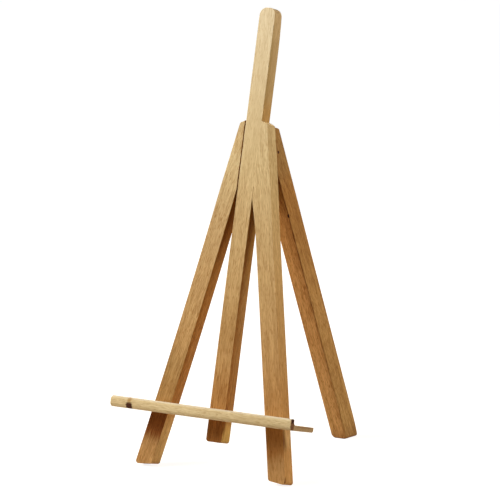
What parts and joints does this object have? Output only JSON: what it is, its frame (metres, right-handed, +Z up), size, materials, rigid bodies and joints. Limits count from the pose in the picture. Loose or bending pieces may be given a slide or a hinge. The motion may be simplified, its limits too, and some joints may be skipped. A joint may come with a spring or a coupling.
{
  "type": "tabletop easel",
  "caption": "Wooden tabletop display easel: a leaning frame of a long post and splayed front legs, a lipped ledge for a picture, and a rear leg that folds on a cross pin.",
  "frame": {"origin": "on the table, at the middle of the easel's footprint", "axes": "+Z up, -Y to the front where the picture faces, +X to the right as seen from the front"},
  "size_m": [0.2192, 0.283, 0.4605],
  "materials": {
    "board": "sanded beech with a thin clear coat, short dark flecks along the grain",
    "ledge": "paler sanded wood moulding, a dark knot near one end",
    "dowel": "bare beech dowel, glued",
    "steel": "plain steel wire, dulled"
  },
  "bodies": {
    "front_frame": {"post": "board", "left_leg": "board", "right_leg": "board", "ledge": "ledge", "hinge_tongue": "board", "frame_dowels": "dowel", "ledge_nails": "steel"},
    "rear": {"rear_leg": "board", "hinge_pin": "steel"}
  },
  "joints": [
    {"name": "rear_leg_fold", "type": "hinge", "parent": "front_frame", "child": "rear", "pos_m": [-0.0065, -0.00825, 0.31533], "axis": [-1, 0, 0], "range_deg": [0, 36]}
  ]
}
